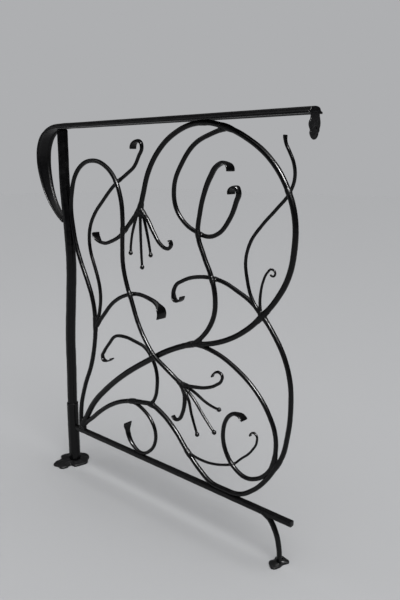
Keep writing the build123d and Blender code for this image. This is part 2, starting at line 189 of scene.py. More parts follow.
# %% The paint finishes
def black_enamel(name, base, rubbed, hammer_mm, hammer_depth, peel_depth, roughness, wear, dust, grain=None):
    """Satin black enamel over worked steel. Pattern sizes and depths are in millimetres."""
    material = bpy.data.materials.new(name)
    material.use_nodes = True
    tree = material.node_tree
    shader = tree.nodes["Principled BSDF"]
    place = add_node(tree, "ShaderNodeTexCoord").outputs["Object"]

    # The paint varies a little from brush stroke to brush stroke, over about 30 mm.
    strokes = add_node(tree, "ShaderNodeTexNoise", {"Scale": 1 / (30 * MM), "Detail": 3.0}, {"Vector": place})
    # Hammer dimples, each about as wide as hammer_mm.
    dimples = add_node(tree, "ShaderNodeTexVoronoi", {"feature": "SMOOTH_F1", "Scale": 1 / (hammer_mm * MM),
                                                      "Smoothness": 0.9}, {"Vector": place})
    # Real orange peel is about 0.5 mm across: drawn at 1.4 mm, so that it shows.
    peel = add_node(tree, "ShaderNodeTexNoise", {"Scale": 1 / (1.4 * MM), "Detail": 2.0}, {"Vector": place})
    # Scuffs, in patches of about 9 mm.
    scuffs = add_node(tree, "ShaderNodeTexNoise", {"Scale": 1 / (9 * MM), "Detail": 6.0, "Roughness": 0.65},
                      {"Vector": place})

    # Paint is rubbed thin on edges, where pointiness is over 0.5, and in a few of the scuffs.
    shape = add_node(tree, "ShaderNodeNewGeometry")
    edges = add_node(tree, "ShaderNodeMapRange", {"From Min": 0.51, "From Max": 0.60}, {
        "Value": shape.outputs["Pointiness"]})
    worn = add_node(tree, "ShaderNodeMath", {"operation": "MULTIPLY"}, {
        0: edges.outputs["Result"], 1: scuffs.outputs["Fac"]})
    patches = add_node(tree, "ShaderNodeMapRange", {"From Min": 0.56, "From Max": 0.74, "To Max": wear}, {
        "Value": scuffs.outputs["Fac"]})
    rub = add_node(tree, "ShaderNodeMath", {"operation": "MULTIPLY_ADD", "use_clamp": True, 1: 0.9 * wear}, {
        0: worn.outputs["Value"], 2: patches.outputs["Result"]})

    # Dust lies on what faces up.
    facing = add_node(tree, "ShaderNodeSeparateXYZ", links={"Vector": shape.outputs["Normal"]})
    upward = add_node(tree, "ShaderNodeMapRange", {"From Min": 0.35, "From Max": 1.0, "To Max": dust}, {
        "Value": facing.outputs["Z"]})
    bloom = add_node(tree, "ShaderNodeMath", {"operation": "MULTIPLY"}, {
        0: upward.outputs["Result"], 1: strokes.outputs["Fac"]})

    coat = add_node(tree, "ShaderNodeMix", {"data_type": "RGBA", 6: paint(base[0]), 7: paint(base[1])}, {
        0: strokes.outputs["Fac"]})
    rubbed_coat = add_node(tree, "ShaderNodeMix", {"data_type": "RGBA", 7: paint(rubbed)}, {
        0: rub.outputs["Value"], 6: coat.outputs[2]})
    dusty_coat = add_node(tree, "ShaderNodeMix", {"data_type": "RGBA", 7: paint("#8d8a86")}, {
        0: bloom.outputs["Value"], 6: rubbed_coat.outputs[2]})
    tree.links.new(dusty_coat.outputs[2], shader.inputs["Base Color"])

    # Scuffs and dust both dull the gleam.
    sheen = add_node(tree, "ShaderNodeMapRange", {"To Min": roughness - 0.09, "To Max": roughness + 0.13}, {
        "Value": scuffs.outputs["Fac"]})
    dulled = add_node(tree, "ShaderNodeMath", {"operation": "MULTIPLY_ADD", "use_clamp": True, 1: 0.8}, {
        0: bloom.outputs["Value"], 2: sheen.outputs["Result"]})
    tree.links.new(dulled.outputs["Value"], shader.inputs["Roughness"])

    hammered = add_node(tree, "ShaderNodeBump", {"Distance": hammer_depth * MM, "Strength": 0.8}, {
        "Height": dimples.outputs["Distance"]})
    peeled = add_node(tree, "ShaderNodeBump", {"Distance": peel_depth * MM, "Strength": 0.6}, {
        "Height": peel.outputs["Fac"], "Normal": hammered.outputs["Normal"]})
    last = peeled
    if grain:
        # Marks left by the rolls: fine lines that run along the piece, grain millimetres apart.
        surface = add_node(tree, "ShaderNodeUVMap", {"uv_map": "surface"})
        stretched = add_node(tree, "ShaderNodeMapping", {"Scale": (1 / grain, 0.02 / grain, 1)}, {
            "Vector": surface.outputs["UV"]})
        lines = add_node(tree, "ShaderNodeTexNoise", {"Scale": 1.0, "Detail": 3.0}, {
            "Vector": stretched.outputs["Vector"]})
        last = add_node(tree, "ShaderNodeBump", {"Distance": 0.12 * MM, "Strength": 0.5}, {
            "Height": lines.outputs["Fac"], "Normal": peeled.outputs["Normal"]})
    tree.links.new(last.outputs["Normal"], shader.inputs["Normal"])
    shader.inputs["IOR"].default_value = 1.5
    shader.inputs["Specular IOR Level"].default_value = 0.2
    return material


FINISHES = {
    # Round bar drawn under the hammer: long soft dimples, a gleam along its crown.
    "forged_bar": black_enamel(
        "satin black enamel on forged round bar", ("#050506", "#0b0b0d"), "#2b2b2f",
        hammer_mm=9, hammer_depth=0.12, peel_depth=0.02, roughness=0.20, wear=0.25, dust=0.02),
    # Rolled moulding: smoother than the bars, with fine roll marks along it.
    "rolled_rail": black_enamel(
        "satin black enamel on rolled moulding", ("#060607", "#0c0c0f"), "#2e2e33",
        hammer_mm=30, hammer_depth=0.08, peel_depth=0.02, roughness=0.30, wear=0.3, dust=0.03, grain=1.6),
    # Plate beaten out thin: broad flats, dulled and rubbed grey by boots and screws.
    "hammered_plate": black_enamel(
        "dull black enamel on hammered plate", ("#0a0a0c", "#151517"), "#434246",
        hammer_mm=7, hammer_depth=0.6, peel_depth=0.10, roughness=0.38, wear=0.5, dust=0.03),
    # Weld metal under paint: small ripples and a dull, uneven skin.
    "weld": black_enamel(
        "black enamel on weld metal", ("#050506", "#0b0b0d"), "#29292d",
        hammer_mm=3.5, hammer_depth=0.4, peel_depth=0.10, roughness=0.34, wear=0.3, dust=0.02),
}
print("finishes:", ", ".join(FINISHES))

# %% [markdown]
# ## A smooth route
# A smith bends a bar by eye, so its line has no kinks and no perfect circles. Each bar here is known by a few
# places that it passes through. At each place the bar heads as a circle through it and its two neighbours
# would, and Bezier spans join the places. A dense list of points along that line can then be asked for
# the place and the heading at any distance from the start.

# %% Routes
HANDLE = 0.36  # a Bezier handle's share of its span: a little over a third bends most like a circle


def heading_between(before, after):
    """The heading where two chords meet, as on the circle through their three ends."""
    return (before * (after.length / before.length) + after * (before.length / after.length)).normalized()


def headings_through(places, closed=False):
    """The direction of travel at each of three places or more."""
    chords = [end - start for start, end in zip(places, places[1:])]
    if closed:
        chords.append(places[0] - places[-1])
        return [heading_between(chords[i - 1], chords[i]) for i in range(len(places))]
    inner = [heading_between(before, after) for before, after in zip(chords, chords[1:])]
    first, last = chords[0].normalized(), chords[-1].normalized()
    at_start = first * (2 * first.dot(inner[0])) - inner[0]
    at_end = last * (2 * last.dot(inner[-1])) - inner[-1]
    return [at_start, *inner, at_end]


def dense_line(places, closed=False, spacing=0.8 * MM):
    """Points close together on the smooth line through the places."""
    headings = headings_through(places, closed)
    line = []
    for i in range(len(places) if closed else len(places) - 1):
        j = (i + 1) % len(places)
        start, end = places[i], places[j]
        length = (end - start).length
        leave = start + headings[i] * (length * HANDLE)
        arrive = end - headings[j] * (length * HANDLE)
        count = max(3, ceil(length / spacing) + 1)
        line += interpolate_bezier(start, leave, arrive, end, count)[:-1]
    if not closed:
        line.append(places[-1])
    return line


class Route:
    """A line that can be asked for its place and heading at any distance. Extra adds a straight run."""

    def __init__(self, places, extra=0.0):
        self.points = dense_line(places)
        if extra:
            self.points.append(self.points[-1] + (self.points[-1] - self.points[-2]).normalized() * extra)
        self.distances = [0.0]
        for start, end in zip(self.points, self.points[1:]):
            self.distances.append(self.distances[-1] + (end - start).length)
        self.length = self.distances[-1]

    def place(self, distance):
        i = min(max(bisect_right(self.distances, distance) - 1, 0), len(self.points) - 2)
        share = (distance - self.distances[i]) / (self.distances[i + 1] - self.distances[i])
        return self.points[i].lerp(self.points[i + 1], share)

    def heading(self, distance, reach=1.2 * MM):
        return (self.place(distance + reach) - self.place(distance - reach)).normalized()

    def frame(self, distance):
        """Local x runs through the panel, local y lies in it, local z runs along the bar."""
        along = self.heading(distance)
        side = (ACROSS - along * ACROSS.dot(along)).normalized()
        turned = Matrix((side, along.cross(side), along)).transposed().to_4x4()
        return Matrix.Translation(self.place(distance)) @ turned


# %% [markdown]
# ## Drawing out a section
# Rolling, forging and pulling all push one outline along a line while its size changes. In mesh terms
# that is one closed loop of edges, extruded again and again, each new loop put in place by a transform.
# It could be a bevelled curve, but a curve can't go from round to flat, and forged ends do.

# %% Extruding a section along stations
def draw_out(bm, stations):
    """Skin a row of outlines and close both ends. A station is (matrix, outline in local x and y)."""
    sides = len(stations[0][1])
    surface = bm.loops.layers.uv.get("surface") or bm.loops.layers.uv.new("surface")
    ring = bmesh.ops.create_circle(bm, segments=sides, radius=1)["verts"]
    ring.sort(key=lambda v: atan2(v.co.y, v.co.x) % (2 * pi))
    edges = [bm.edges.get((ring[i], ring[(i + 1) % sides])) for i in range(sides)]
    first_edges, travelled, before = edges, 0.0, None
    girth = sum((Vector(a) - Vector(b)).length for a, b in zip(stations[0][1], stations[0][1][1:]))
    for matrix, outline in stations:
        if before is not None:
            gap = (matrix.translation - before).length
            travelled += gap
            order = {v: i for i, v in enumerate(ring)}
            grown = bmesh.ops.extrude_edge_only(bm, edges=edges)["geom"]
            new_ring = [None] * sides
            for v in (g for g in grown if isinstance(g, bmesh.types.BMVert)):
                old = next(e.other_vert(v) for e in v.link_edges if e.other_vert(v) in order)
                new_ring[order[old]] = v
            # The surface map, in millimetres: u round the bar, v along it.
            for face in (g for g in grown if isinstance(g, bmesh.types.BMFace)):
                known = sorted(order[loop.vert] for loop in face.loops if loop.vert in order)
                wraps = known == [0, sides - 1]
                for loop in face.loops:
                    is_old = loop.vert in order
                    index = order[loop.vert] if is_old else new_ring.index(loop.vert)
                    index = sides if wraps and index == 0 else index
                    back = gap if is_old else 0.0
                    loop[surface].uv = (index * girth / sides / MM, (travelled - back) / MM)
            ring = new_ring
            edges = [bm.edges.get((ring[i], ring[(i + 1) % sides])) for i in range(sides)]
        for v, (x, y) in zip(ring, outline):
            v.co = (x, y, 0)
        bmesh.ops.transform(bm, matrix=matrix, verts=ring)
        before = matrix.translation.copy()
    bmesh.ops.edgeloop_fill(bm, edges=first_edges)
    bmesh.ops.edgeloop_fill(bm, edges=edges)


def hammer(bm, depth, size):
    """Dent the skin with soft marks about `size` across, and finer ones among them."""
    bm.normal_update()
    for v in bm.verts:
        coarse = noise.noise(v.co / size)
        fine = noise.noise(v.co / size * 2.3 + Vector((7, 3, 5)))
        v.co += v.normal * depth * (coarse + 0.4 * fine)


def make_piece(name, bm, slot, stands_for=(), smooth=1):
    """Turn a bmesh into a finished piece of the panel: shaded smooth, painted, and riding on the frame."""
    bmesh.ops.recalc_face_normals(bm, faces=bm.faces)
    mesh = bpy.data.meshes.new(name)
    bm.to_mesh(mesh)
    bm.free()
    for polygon in mesh.polygons:
        polygon.use_smooth = True
    mesh.materials.append(FINISHES[slot])
    piece = add_object(name, mesh)
    if smooth:
        skin = piece.modifiers.new("smooth skin", "SUBSURF")
        skin.levels = skin.render_levels = smooth
    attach(piece, "root")
    if stands_for:
        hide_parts(*stands_for)
    return piece


# %% [markdown]
# ## Sections
# A round bar is a circle, a square bar is nearly a square with worn corners, and a beaten tip is a wide flat
# one. One formula covers them all: a superellipse, whose power runs from about 2 for round to 7 for square.

# %% Superellipse outline
def rounded(width, thickness, power, sides):
    """A closed outline, width by thickness: power 2 is an ellipse, and higher is squarer."""
    outline = []
    for i in range(sides):
        c, s = cos(2 * pi * i / sides), sin(2 * pi * i / sides)
        swell = (abs(c) ** power + abs(s) ** power) ** (-1 / power)
        outline.append((c * swell * width / 2, s * swell * thickness / 2))
    return outline


def ease(share):
    """0 to 1, starting and ending gently."""
    share = min(max(share, 0.0), 1.0)
    return share * share * (3 - 2 * share)


# %% [markdown]
# ## A forged bar
# Each bar starts as one length of round stock. It is left thickest at its butt, where it is welded, thins a
# little towards the tip, and there it is either beaten wide and thin, or upset into a ball. Paint and hammer
# work leave the whole bar a little stouter than its stock. It could be a plain tube, but the beaten
# fishtail ends are what make this ironwork, so size and shape are worked out at every station.

# %% Forging a bar
BAR_SIDES = 16
BAR_STEP, TIP_STEP = 2.6 * MM, 1.6 * MM  # from station to station
TIP_END = 3.6 * MM  # thickness of a beaten end
BEATING = 18 * MM  # how far the section takes to go from drawn to fully flat
TAPER_SHARE = 0.45  # how much of a tip's widening is its long taper, before the beating
UNEVEN, UNEVEN_LENGTH = 0.035, 38 * MM  # a hand-drawn bar's size wanders by this share, over this length
ROUND_POWER, FLAT_ADDS = 2.15, 2.6  # the superellipse's power for a bar, and what a flat end adds to it
THINNEST = 0.5 * MM


class Bar:
    """One forged bar. Spots are (along, up) or (along, up, across). All sizes come in millimetres.

    Tip is the length of the taper, and flat is how much of it is fully flat. Butt and thin are shares of the
    diameter, at the start and at the end.
    """

    def __init__(self, diameter, spots, tip=0.0, tip_width=14.0, flat=7.0, ball=0.0, thin=1.08, butt=1.14):
        places = [Vector((x, y, z)) * MM for x, z, y in ((*spot, 0.0)[:3] for spot in spots)]
        self.diameter, self.ball, self.thin, self.butt = diameter * MM, ball * MM, thin, butt
        self.tip, self.tip_width, self.flat = tip * MM, tip_width * MM, flat * MM
        self.route = Route(places, extra=self.ball / 2)

    def size(self, distance):
        """Width through the panel, thickness in it, and squareness at a distance from the start."""
        share = distance / self.route.length
        worked = 1 + UNEVEN * noise.noise(self.route.place(distance) / UNEVEN_LENGTH)
        width = thickness = self.diameter * (self.butt + (self.thin - self.butt) * ease(share)) * worked
        power = ROUND_POWER
        left = self.route.length - distance
        if left < self.tip:
            drawn, beaten = ease(1 - left / self.tip), ease((self.flat + BEATING - left) / BEATING)
            width += (self.tip_width - width) * (TAPER_SHARE * drawn + (1 - TAPER_SHARE) * beaten)
            thickness += (TIP_END - thickness) * beaten
            power += FLAT_ADDS * beaten
        if self.ball:
            radius = self.ball / 2
            off_centre = distance - (self.route.length - radius)
            if abs(off_centre) < radius:
                across_ball = 2 * sqrt(radius ** 2 - off_centre ** 2)
                width = thickness = max(width if off_centre < 0 else 0.0, across_ball)
        return max(width, THINNEST), max(thickness, THINNEST), power

    def steps(self):
        """Distances of the stations: closer together where the section changes fast."""
        steps, distance = [], 0.0
        while distance < self.route.length - 0.3 * MM:
            steps.append(distance)
            left = self.route.length - distance
            if self.ball and left < self.ball * 1.3:
                distance += max(0.5 * MM, min(1.0 * MM, left * 0.3))
            elif self.tip and left < self.tip:
                distance += TIP_STEP
            else:
                distance += BAR_STEP
        steps.append(self.route.length)
        return steps

    def stations(self, steps=None, swell=None):
        """What draw_out needs, at the given steps or all along, swollen by a function of the place."""
        stations = []
        for distance in steps or self.steps():
            width, thickness, power = self.size(distance)
            grow = swell(self.route.place(distance)) if swell else 1.0
            outline = rounded(width * grow, thickness * grow, power, BAR_SIDES)
            stations.append((self.route.frame(distance), outline))
        return stations


def forge(name, bar, slot="forged_bar"):
    """The finished bar, with hammer marks and an end that is rounded over."""
    bm = bmesh.new()
    stations = bar.stations()
    matrix, outline = stations[-1]
    if not bar.ball:
        over = matrix @ Matrix.Translation((0, 0, 0.9 * MM))
        stations.append((over, [(x * 0.93, y * 0.55) for x, y in outline]))
    draw_out(bm, stations)
    hammer(bm, 0.12 * MM, 13 * MM)
    return make_piece(name, bm, slot, [name])


# %% [markdown]
# ## The bars of the panel
# All the vines are cut from eight sizes of bar. Bars that cross don't run through each other: one passes in
# front, a bar's width nearer, and a dab of weld joins them. The places below are along, up and, where a
# bar leaves the panel's own plane, across, all in millimetres.

# %% Bar sizes and where bars pass each other
STEM, LOOP, VINE, SPIRAL, LEAF, RUNNER, TENDRIL, WIRE = 12.7, 10.5, 9.5, 8.8, 8.2, 7.8, 6.3, 5.5
STAMEN_BALL = 10.5
GAP, SEAT = 0.15, 0.4  # air between bars that pass each other, and how far a bar sinks into what it lies on
RAIL_UNDERSIDE, BOTTOM_RAIL_TOP = 902.0, 111.0
OVER_STEM = -(VINE + STEM) / 2 - GAP
OVER_LEAF = -(VINE + SPIRAL) / 2 - GAP
BEHIND_STEM = (STEM + RUNNER) / 2 + GAP
BEHIND_LEAF = (VINE + SPIRAL) / 2 + GAP
BEHIND_LOOP = (LOOP + TENDRIL) / 2 + GAP
BEHIND_SPIRAL = (SPIRAL + WIRE) / 2 + GAP
UNDER_CAP = RAIL_UNDERSIDE - LOOP / 2 + SEAT
ON_RAIL_VINE = BOTTOM_RAIL_TOP + VINE / 2 - SEAT
ON_RAIL_RUNNER = BOTTOM_RAIL_TOP + RUNNER / 2 - SEAT

# %% The vines
BARS = {
    "main_stem": Bar(STEM, [
        (44, 121), (57, 141), (97, 199), (150, 250), (200, 290), (312, 362), (381, 400), (457, 430)],
        butt=1.25),
    "main_loop": Bar(LOOP, [
        (457, 430), (513, 442), (558, 460), (599, 485), (638, 519), (674, 560), (699, 603), (712, 662),
        (710, 722), (688, 779), (651, 826), (598, 863), (544, 886), (485, UNDER_CAP), (406, 880),
        (351, 841), (320, 798), (301, 746), (291, 716)], thin=1.1),
    "left_loop": Bar(VINE, [
        (38, 118), (39, 165), (60, 236), (91, 303), (107, 361), (113, 406), (112, 446), (104, 484),
        (86, 526), (64, 570), (46, 615), (36, 660), (31, 705), (38, 750), (54, 788), (84, 814),
        (130, 823, -2), (180, 810, -6), (217, 780, OVER_LEAF), (235, 738, OVER_LEAF), (240, 684, OVER_LEAF),
        (237, 631, OVER_LEAF), (238, 580, OVER_LEAF), (248, 541, OVER_LEAF), (265, 500, OVER_LEAF),
        (289, 449, -11), (314, 411, OVER_STEM), (342, 381, OVER_STEM), (374, 359, -8), (398, 341, -3),
        (420, 326)], thin=1.1, butt=1.2),
    "lower_curve": Bar(VINE, [
        (44, 118), (60, 133), (84, 151), (121, 181), (166, 211), (206, 230), (246, 242), (285, 249),
        (316, 252), (356, 238), (397, 209), (436, 169), (473, 138), (508, 118), (546, ON_RAIL_VINE),
        (588, 119), (626, 142), (657, 174), (680, 208), (698, 241), (709, 286), (715, 350), (711, 404),
        (695, 451), (671, 489), (640, 525)], butt=1.28),
    "right_spiral": Bar(SPIRAL, [
        (457, 430), (483, 429), (526, 421), (578, 399), (627, 365), (661, 325), (679, 286), (682, 250),
        (675, 215), (658, 189), (634, 171), (606, 164), (580, 173), (558, 194), (545, 222), (543, 251),
        (549, 275), (560, 291), (577, 300), (592, 299), (600, 292)], tip=70, tip_width=22, flat=16),
    "upright_leaf": Bar(VINE, [
        (457, 430), (482, 451), (503, 477), (516, 507), (518, 540), (509, 580), (486, 627), (469, 672),
        (474, 712), (485, 752), (503, 789), (522, 812), (541, 818), (553, 813), (556, 802)], tip=150,
        tip_width=26, flat=17),
    "upper_spiral": Bar(SPIRAL, [
        (551, 885), (504, 874), (461, 856), (425, 819), (398, 766, 2), (401, 722, 5), (424, 691, 8.5),
        (458, 674, BEHIND_LEAF), (491, 667, BEHIND_LEAF), (519, 676, BEHIND_LEAF), (545, 703, BEHIND_LEAF),
        (564, 741, BEHIND_LEAF), (570, 761, BEHIND_LEAF), (563, 771, BEHIND_LEAF), (554, 768, BEHIND_LEAF),
        (551, 757, BEHIND_LEAF)], tip=110, tip_width=25, flat=12),
    "node_leaf": Bar(LEAF, [
        (638, 526), (613, 545, 2), (574, 562, 6), (527, 577, BEHIND_LEAF), (468, 579, BEHIND_LEAF),
        (415, 564, BEHIND_LEAF), (393, 550, BEHIND_LEAF), (386, 531, BEHIND_LEAF), (392, 516, BEHIND_LEAF),
        (404, 516, BEHIND_LEAF), (413, 528, BEHIND_LEAF)], tip=100, tip_width=18, flat=30),
    "long_tendril": Bar(TENDRIL, [
        (638, 526), (616, 552), (602, 592), (598, 631), (609, 666), (634, 699, 1), (665, 732, 5),
        (690, 761, BEHIND_LOOP), (702, 788, 8), (702, 815, 5), (692, 839, 3), (685, 853, 2), (683, 867, 2)],
        tip=14, tip_width=13, flat=-6),
    "short_tendril": Bar(WIRE, [
        (638, 526), (635, 545), (636, 567), (641, 590), (651, 610), (661, 618), (670, 612), (667, 605),
        (659, 607)], thin=0.8),
    "low_tendril": Bar(WIRE, [
        (440, 168), (478, 162), (514, 164, 1), (546, 171, 5), (565, 178, BEHIND_SPIRAL),
        (585, 196, BEHIND_SPIRAL), (618, 228, 5), (631, 252, 4), (630, 265, 4), (620, 269, 4), (614, 260, 4)],
        tip=16, tip_width=8, thin=0.95),
    "lower_left_spiral": Bar(RUNNER, [
        (245, 242), (286, 232), (315, 212), (330, 184), (327, 154), (307, 128), (277, ON_RAIL_RUNNER),
        (251, 124), (232, 148), (228, 168), (230, 181)], tip=100, tip_width=26, flat=4),
    "cross_tendril": Bar(RUNNER, [
        (317, 254), (331, 275, 1), (334, 301, 4), (328, 336, 8), (312, 363, BEHIND_STEM),
        (288, 385, BEHIND_STEM), (256, 396, 6), (220, 402, 2), (190, 397), (167, 375), (146, 350),
        (138, 336), (142, 327), (156, 326), (174, 336)], tip=100, tip_width=16, flat=26),
    "arching_leaf": Bar(SPIRAL, [
        (119, 412), (148, 445), (190, 485), (236, 508), (275, 516), (312, 512), (341, 502), (354, 491),
        (354, 470)], tip=90, tip_width=30, flat=20),
    "left_tendril": Bar(RUNNER, [
        (120, 420), (133, 455), (138, 495), (133, 527), (118, 567), (105, 600), (101, 635), (108, 667),
        (125, 695), (157, 727), (208, 770), (248, 793), (275, 811), (290, 833), (300, 850), (297, 862),
        (286, 866), (276, 862), (271, 849)], tip=60, tip_width=20, flat=12),
}
print("vines:", round(sum(bar.route.length for bar in BARS.values()), 2), "m of bar in", len(BARS), "lengths")

# %% [markdown]
# ## The lilies
# Each lily is the end of a vine: two petals of bar that curl back, and three thin stamens, each upset into
# a ball. They are bars like any others, so they join the same list.

# %% The petals and stamens
BARS.update({
    "upper_lily_left_petal": Bar(RUNNER, [
        (288, 713), (253, 679), (226, 654), (190, 635), (155, 627), (139, 631), (130, 640), (127, 651)],
        tip=60, tip_width=23, flat=14, butt=1.4),
    "upper_lily_right_petal": Bar(RUNNER, [
        (294, 713), (310, 699), (335, 664), (355, 641), (371, 633), (383, 634), (389, 643), (384, 651)],
        tip=40, tip_width=13, butt=1.3),
    "upper_lily_left_stamen": Bar(WIRE, [
        (288, 712, -3), (278, 688, -4), (265, 646, -5), (261, 613, -5)], ball=STAMEN_BALL, butt=1.3),
    "upper_lily_middle_stamen": Bar(WIRE, [(291, 711), (291, 650), (294, 582)], ball=STAMEN_BALL, butt=1.3),
    "upper_lily_right_stamen": Bar(WIRE, [
        (293, 711, 3), (300, 689, 4), (309, 654, 5), (318, 612, 5)], ball=STAMEN_BALL, butt=1.3),
    "lower_lily_right_petal": Bar(TENDRIL, [
        (424, 328), (461, 331), (495, 338), (521, 350), (537, 364), (539, 375), (530, 381), (518, 377),
        (511, 367)], tip=24, tip_width=10, butt=1.35),
    "lower_lily_left_petal": Bar(RUNNER, [
        (423, 322), (428, 301), (427, 280), (421, 259), (412, 243), (400, 237), (390, 244)],
        tip=60, tip_width=13, thin=1.1, butt=1.3),
    "lower_lily_left_stamen": Bar(WIRE, [
        (425, 321, -3), (442, 301, -4), (454, 266, -5), (471, 223, -5)], ball=STAMEN_BALL, butt=1.3),
    "lower_lily_middle_stamen": Bar(WIRE, [
        (427, 323), (459, 299), (480, 276), (517, 240)], ball=STAMEN_BALL, butt=1.3),
    "lower_lily_right_stamen": Bar(WIRE, [
        (426, 326, 3), (458, 315, 4), (491, 300, 5), (526, 294, 5)], ball=STAMEN_BALL, butt=1.3),
})
for name, bar in BARS.items():
    forge(name, bar)
print("forged", len(BARS), "bars")

# %% [markdown]
# ## The post and its socket
# The post is octagonal bar that the smith has left a little crooked. A ring of edges with eight soft corners
# is drawn out up the wandering line. The socket is a short sleeve round its foot, with a chamfered lip. Both
# are a little stouter than the frame's solids, as hammered and painted bar is.

# %% Octagonal sections
POST_FLATS, SOCKET_FLATS, SOCKET_TOP = 25.6, 30.2, 175.0
OCTAGON_POINTS = 32


def octagon(flats, sharpness=0.85):
    """An octagon, flats across, whose corners are eased towards a circle."""
    outline = []
    for i in range(OCTAGON_POINTS):
        angle = 2 * pi * i / OCTAGON_POINTS
        from_flat = (angle + pi / 8) % (pi / 4) - pi / 8
        reach = 1 + (1 / cos(from_flat) - 1) * sharpness
        outline.append((cos(angle) * reach * flats / 2 * MM, sin(angle) * reach * flats / 2 * MM))
    return outline


# %% The post
POST_LINE = [(0, 8), (0, 60), (0, 120), (0, 175), (2.9, 269), (4.8, 364), (14.5, 466), (22, 571), (18, 655),
             (8.8, 757), (8, 842), (8, 902)]
post_route = Route([Vector((x, 0, z)) * MM for x, z in POST_LINE])
POST_STEPS = 150
bm = bmesh.new()
heights = [post_route.length * i / POST_STEPS for i in range(POST_STEPS + 1)]
draw_out(bm, [(Matrix.Translation(post_route.place(height)), octagon(POST_FLATS)) for height in heights])
hammer(bm, 0.45 * MM, 16 * MM)
make_piece("post", bm, "forged_bar", ["post"])

# %% The socket
bm = bmesh.new()
flare = [(8, 31.4), (11, 30.4)]  # height and size across flats
body = [(z, SOCKET_FLATS) for z in range(16, 172, 6)]
lip = [(SOCKET_TOP - down, flats) for down, flats in (
    (2.5, 30.6), (0.8, 29.8), (0, 28.2), (0.4, 26.7), (4, 26.3), (11, 26.1))]  # over the top and down inside
draw_out(bm, [(Matrix.Translation(UP * z * MM), octagon(flats, 0.75)) for z, flats in flare + body + lip])
hammer(bm, 0.4 * MM, 13 * MM)
make_piece("post_socket", bm, "forged_bar", ["post_socket"])
print("post and socket:", POST_FLATS, "and", SOCKET_FLATS, "mm across flats")

# %% [markdown]
# ## The cap rail and its tongue
# A stair's handrail is rolled in a moulded section: a thin flange, a cove and a low crown, hollow beneath.
# At the post it sweeps over and down into a lamb's tongue, drawn thinner towards its end. The straight part
# could be one long box with a profile, but the tongue has to flow out of it, so both are one extrusion.

# %% The rail's section
CAP_HALF_OUTLINE = [
    (0, 2.4), (11, 2.4), (13.2, 1.9), (14.4, 0.3), (15.6, 0), (21.2, 0), (22.0, 0.5), (22.25, 1.2),
    (22.25, 2.8), (21.6, 3.4), (20.4, 3.6), (18.2, 4.0), (16.2, 5.6), (15.0, 8.0), (13.6, 9.6), (9.8, 10.9),
    (4.8, 11.7), (0, 12),
]
CAP_STOUT, CAP_SINK = 1.08, 0.5  # a little taller than its stock, and set down onto what holds it


def cap_section(width_share, height_share):
    """The whole outline from the half, starting at the middle of the hollow underside."""
    right = [
        (x * width_share * MM, (y * height_share * CAP_STOUT - CAP_SINK) * MM) for x, y in CAP_HALF_OUTLINE]
    left = [(-x, y) for x, y in reversed(right[1:-1])]
    return right + left


# %% The rail and tongue
PANEL_LENGTH = 748.0
TONGUE = [(12, 902), (-24, 899), (-52, 886), (-71, 859), (-77, 822), (-71, 780), (-57, 740), (-37, 708),
          (-15, 686), (4, 673)]
STRAIGHT = [(x, RAIL_UNDERSIDE) for x in (PANEL_LENGTH - 0.5, 200, 60)]
rail_route = Route([Vector((x, 0, z)) * MM for x, z in STRAIGHT + TONGUE])
TONGUE_START = (PANEL_LENGTH - 12) * MM  # from the rail's far end, along it
NARROWING, NARROWING_POWER, THINNING = 0.48, 1.6, 0.25  # what the tongue loses in width and in thickness
RAIL_STEP, TONGUE_STEP = 9 * MM, 3 * MM
bm = bmesh.new()
stations = []
steps = [0.0, 0.4 * MM, 1.5 * MM]  # close together, so that the sawn end stays crisp
while steps[-1] < rail_route.length - TONGUE_STEP:
    steps.append(steps[-1] + (TONGUE_STEP if steps[-1] > TONGUE_START - 20 * MM else RAIL_STEP))
taper_start = TONGUE_START + 60 * MM
for distance in steps:
    down = ease((distance - taper_start) / (rail_route.length - taper_start))
    section = cap_section(1 - NARROWING * down ** NARROWING_POWER, 1 - THINNING * down)
    stations.append((rail_route.frame(distance), [(x, -y) for x, y in section]))
end_matrix, end_outline = stations[-1]
over = end_matrix @ Matrix.Translation((0, 0, 1.5 * MM))
stations.append((over, [(x * 0.8, y * 0.7 - 1 * MM) for x, y in end_outline]))  # rounded over
draw_out(bm, stations)
hammer(bm, 0.12 * MM, 40 * MM)
make_piece("cap_rail", bm, "rolled_rail", ["cap_rail"])
print("rail and tongue:", round(rail_route.length, 3), "m")

# %% [markdown]
# ## The bottom rail and leg
# The bottom rail is square bar with worn corners, its end burred over by the saw and the hammer. The leg is
# round bar, bent out of it.

# %% Bottom rail and leg
BOTTOM_BAR, BOTTOM_RAIL_END = 12.7, 727.0
BOTTOM_MIDDLE = BOTTOM_RAIL_TOP - BOTTOM_BAR / 2
BOTTOM_STEPS = 200
bottom_route = Route([Vector((x, 0, BOTTOM_MIDDLE)) * MM for x in (12, 250, 500, BOTTOM_RAIL_END - 0.8)])
bm = bmesh.new()
square = rounded(BOTTOM_BAR * MM, BOTTOM_BAR * MM, power=7, sides=24)
distances = [bottom_route.length * i / BOTTOM_STEPS for i in range(BOTTOM_STEPS + 1)]
stations = [(bottom_route.frame(distance), square) for distance in distances]
end_matrix, end_outline = stations[-1]
for advance, shrink in ((0.5, 0.97), (0.8, 0.9)):
    over = end_matrix @ Matrix.Translation((0, 0, advance * MM))
    stations.append((over, [(x * shrink, y * shrink) for x, y in end_outline]))
draw_out(bm, stations)
hammer(bm, 0.3 * MM, 14 * MM)
make_piece("bottom_rail", bm, "forged_bar", ["bottom_rail"])
LEG_BAR, LEG_FOOT = 10.5, 698
BARS["leg"] = Bar(LEG_BAR, [(654, 105), (672, 93), (687, 71), (696, 41), (LEG_FOOT, 5)])
forge("leg", BARS["leg"])
print("bottom rail:", round(bottom_route.length, 3), "m, leg:", round(BARS["leg"].route.length, 3), "m")

